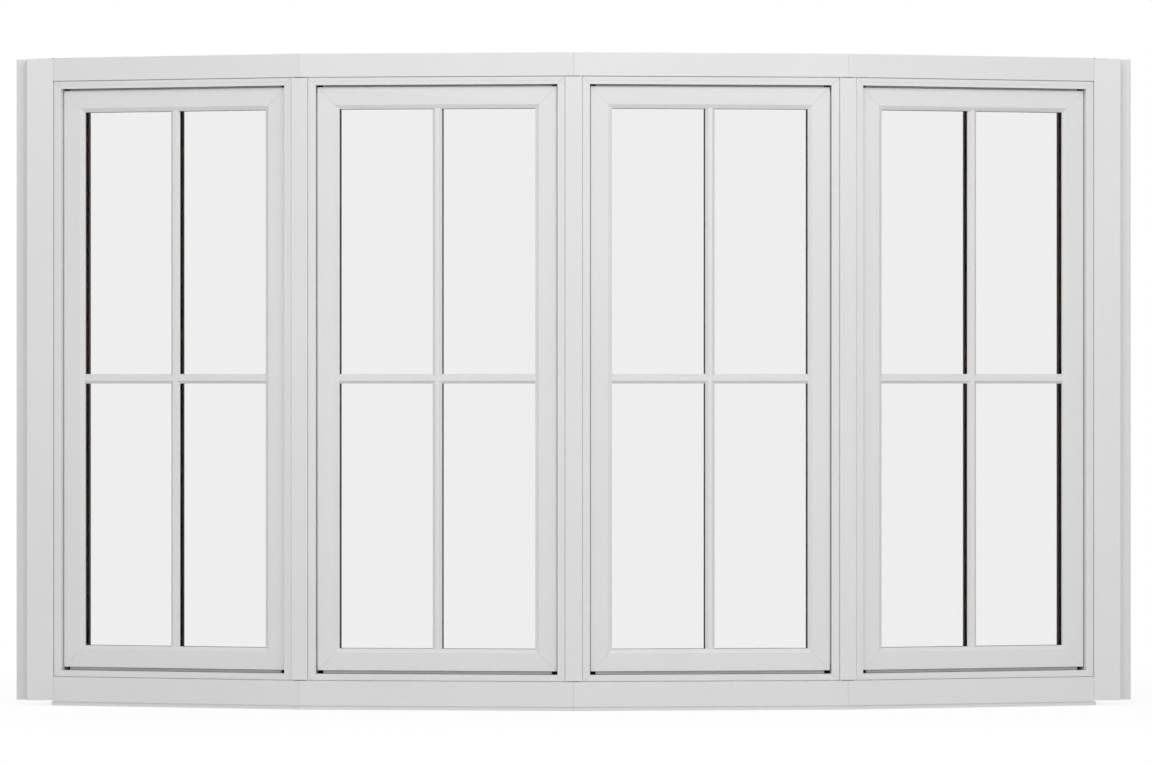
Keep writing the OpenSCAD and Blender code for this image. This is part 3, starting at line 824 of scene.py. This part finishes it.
# %% Shape the cranks
def crank_operator(work, number, low, high):
    length, depth, height = high - low
    radius = depth / 2
    towards_hub = 1 if number <= 2 else -1
    start_x = (low.x if towards_hub > 0 else high.x) + towards_hub * radius
    base = unit_place[number] @ Matrix.Translation((start_x, low.y + radius, low.z))
    base = base @ Matrix.Diagonal((towards_hub, 1, 1, 1))
    span = length - 2 * radius
    cover_h = height * 0.54
    cover = capsule_outline(span, radius, radius)
    stack_outlines(work, base, cover, [
        (0, 0), (cover_h * 0.42, 0), (cover_h * 0.7, 0.7 * MM), (cover_h * 0.88, 2.2 * MM),
        (cover_h * 0.97, 4.4 * MM), (cover_h, 7 * MM),
    ])
    hub = base @ Matrix.Translation((span, 0, cover_h - 0.4 * MM))
    hub_h = height - cover_h
    turn_on_lathe(work, hub, [
        (0, 0), (8.4 * MM, 0), (8.2 * MM, hub_h * 0.2), (7.2 * MM, hub_h * 0.45), (7.0 * MM, hub_h * 0.7),
        (5.4 * MM, hub_h * 0.84), (0, hub_h * 0.88),
    ], 32)
    arm_l = length * 0.63
    arm = base @ Matrix.Translation((span - arm_l, 0, cover_h + 1.6 * MM))
    stack_outlines(work, arm, capsule_outline(arm_l, 4.2 * MM, 6.0 * MM), [
        (0, 0.9 * MM), (0.7 * MM, 0), (3.0 * MM, 0), (4.2 * MM, 0.8 * MM), (4.6 * MM, 1.9 * MM),
    ])
    knob_h = height - cover_h - 0.3 * MM
    knob = base @ Matrix.Translation((span - arm_l, 0, cover_h + 0.3 * MM))
    turn_on_lathe(work, knob, [
        (0, 0), (4.2 * MM, 0), (5.2 * MM, knob_h * 0.15), (4.4 * MM, knob_h * 0.4), (5.6 * MM, knob_h * 0.62),
        (6.0 * MM, knob_h * 0.8), (4.6 * MM, knob_h * 0.95), (0, knob_h),
    ], 32)
    for x in (2 * MM, span - 22 * MM):
        for side in (-1, 1):
            screw = base @ Matrix.Translation((x, side * radius * 0.62, cover_h * 0.8))
            screw_head(work, screw, 0.75)


for group in loose_solids("crank_operators"):
    number = nearest_unit(group)
    low, high = extents(group, number)
    work = bmesh.new()
    crank_operator(work, number, low, high)
    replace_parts(finish_piece(f"crank_{number}", work, rubbed_bronze), "crank_operators")

# %% [markdown]
# ## Lock levers
#
# A single lever pulls the sash tight against its strips through a bar hidden in the frame. What shows is a narrow
# plate with two screws, a round boss and a lever that hangs down when the sash is locked. The lever swells towards its
# end, so that a finger finds it.

# %% Shape the lock levers
def lock_lever(work, number, low, high):
    width, depth, height = high - low
    face = unit_place[number] @ Matrix.Translation(((low.x + high.x) / 2, low.y, (low.z + high.z) / 2))
    face = face @ Matrix.Rotation(math.radians(90), 4, "X") @ Matrix.Diagonal((1, 1, -1, 1))
    plate_t = 4 * MM
    plate_h = 92 * MM
    plate_z = (high.z - plate_h / 2) - (low.z + high.z) / 2
    plate = face @ Matrix.Translation((0, plate_z, 0))
    stack_outlines(work, plate, rounded_outline(width, plate_h, width * 0.42), [
        (0, 0), (plate_t * 0.5, 0), (plate_t * 0.8, 0.35 * MM), (plate_t, 1.1 * MM),
    ])
    boss = plate
    turn_on_lathe(work, boss, [
        (0, plate_t - 0.5 * MM), (width * 0.46, plate_t - 0.5 * MM), (width * 0.46, plate_t + 1 * MM),
        (width * 0.36, plate_t + 2.2 * MM), (width * 0.34, depth - 3 * MM), (width * 0.3, depth - 0.8 * MM),
        (0, depth - 0.6 * MM),
    ], 28)
    lever_l = 62 * MM - width * 0.4
    lever = plate @ Matrix.Rotation(math.radians(-90), 4, "Z") @ Matrix.Translation((0, 0, depth - 5 * MM))
    stack_outlines(work, lever, capsule_outline(lever_l, width * 0.3, width * 0.4), [
        (0, 0.9 * MM), (0.8 * MM, 0), (3.2 * MM, 0), (4.4 * MM, 0.7 * MM), (5.0 * MM, 1.7 * MM),
    ])
    for z in (-1, 1):
        screw = plate @ Matrix.Translation((0, z * (plate_h / 2 - 8 * MM), plate_t - 0.3 * MM))
        screw_head(work, screw, 0.85)


for group in loose_solids("lock_levers"):
    number = nearest_unit(group)
    low, high = extents(group, number)
    work = bmesh.new()
    lock_lever(work, number, low, high)
    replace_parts(finish_piece(f"lock_lever_{number}", work, rubbed_bronze), "lock_levers")
